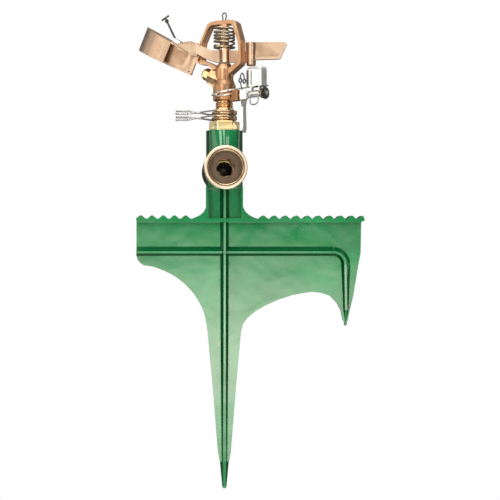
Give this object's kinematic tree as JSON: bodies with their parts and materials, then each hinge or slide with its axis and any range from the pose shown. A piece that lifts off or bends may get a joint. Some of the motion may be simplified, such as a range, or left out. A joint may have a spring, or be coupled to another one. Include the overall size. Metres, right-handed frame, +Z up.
{
  "type": "impact sprinkler",
  "caption": "Cast impact sprinkler with a sprung, deflecting arm, trip works and arc collars, on a step-in flow-through hose spike.",
  "frame": {"origin": "riser axis at the level of the tread rib, which is the soil line once the spike is stepped in", "axes": "+Z up along the riser, -Y towards the hose inlet, +X along the tread towards the hook"},
  "size_m": [0.1774, 0.0789, 0.3735],
  "materials": {
    "green_enamel": "glossy green stoved enamel over die-cast zinc",
    "turned_brass": "bright machined brass",
    "cast_bronze": "tumbled bronze casting with a pinkish cast",
    "spring_steel": "drawn stainless spring wire",
    "bright_steel": "bright stainless sheet and rod",
    "dark_steel": "dark drawn steel",
    "inlet_rubber": "brown moulded hose washer",
    "seal_rubber": "black moulded rubber",
    "black_plastic": "black moulded plastic",
    "washer_plastic": "grey-brown bearing plastic"
  },
  "bodies": {
    "base": {"spike_casting": "green_enamel", "hose_tailpiece": "turned_brass", "outlet_nipple": "turned_brass", "bearing_nut": "turned_brass", "bearing_spring": "spring_steel", "seal_washer_lower": "seal_rubber", "seal_washer_upper": "seal_rubber"},
    "inlet_swivel": {"hose_swivel": "turned_brass", "inlet_washer": "inlet_rubber"},
    "outlet_closure": {"outlet_cap": "black_plastic", "cap_washer": "seal_rubber"},
    "lower_collar": {"collar_lower": "spring_steel"},
    "upper_collar": {"collar_upper": "spring_steel"},
    "head": {"body_casting": "cast_bronze", "bearing_stem": "turned_brass", "nozzle": "turned_brass", "fulcrum_pin": "bright_steel", "cotter_pin": "spring_steel", "thrust_washer_lower": "washer_plastic", "arm_spring": "spring_steel", "trip_pivot_pin": "bright_steel", "trip_retainer": "dark_steel", "trip_spring": "spring_steel", "trip_strap": "bright_steel"},
    "arm": {"arm_casting": "cast_bronze", "arm_bushing_lower": "washer_plastic", "arm_bushing_upper": "washer_plastic", "spring_seat": "washer_plastic", "pin_clamp": "bright_steel"},
    "diffuser": {"diffuser_pin": "dark_steel"},
    "trip_arm": {"trip_lever": "bright_steel"},
    "trip_hood": {"trip_hammer": "bright_steel"}
  },
  "joints": [
    {"name": "hose_swivel_spin", "type": "hinge", "parent": "base", "child": "inlet_swivel", "pos_m": [0, -0.026, 0.0384], "axis": [0, 1, 0], "continuous": true},
    {"name": "outlet_cap_removal", "type": "slide", "parent": "base", "child": "outlet_closure", "axis": [0, 1, 0], "range_m": [0, 0.022]},
    {"name": "lower_collar_turn", "type": "hinge", "parent": "base", "child": "lower_collar", "pos_m": [0, 0, 0.0787], "axis": [0, 0, 1], "range_deg": [-25, 25]},
    {"name": "upper_collar_turn", "type": "hinge", "parent": "base", "child": "upper_collar", "pos_m": [0, 0, 0.0828], "axis": [0, 0, 1], "range_deg": [-25, 25]},
    {"name": "head_rotation", "type": "hinge", "parent": "base", "child": "head", "pos_m": [0, 0, 0.065], "axis": [0, 0, 1], "range_deg": [-60, 140]},
    {"name": "arm_swing", "type": "hinge", "parent": "head", "child": "arm", "pos_m": [0, 0, 0.1266], "axis": [0, 0, 1], "range_deg": [0, 85], "stiffness_Nm_per_rad": 0.012, "springref_deg": -20.05},
    {"name": "diffuser_pin_screw", "type": "slide", "parent": "arm", "child": "diffuser", "axis": [0.4051, -0.2339, -0.8838], "range_m": [-0.003, 0.006]},
    {"name": "trip_lever_swing", "type": "hinge", "parent": "head", "child": "trip_arm", "pos_m": [0.01463, -0.01364, 0.0952], "axis": [0.7314, -0.682, 0], "range_deg": [-14, 14]},
    {"name": "trip_hood_tilt", "type": "hinge", "parent": "head", "child": "trip_hood", "pos_m": [0.0234, -0.02182, 0.0952], "axis": [0.7314, -0.682, 0], "range_deg": [-12, 12]}
  ],
  "couplings": [
    {"joint": "trip_hood_tilt", "follows": "trip_lever_swing", "ratio": 0.8}
  ]
}
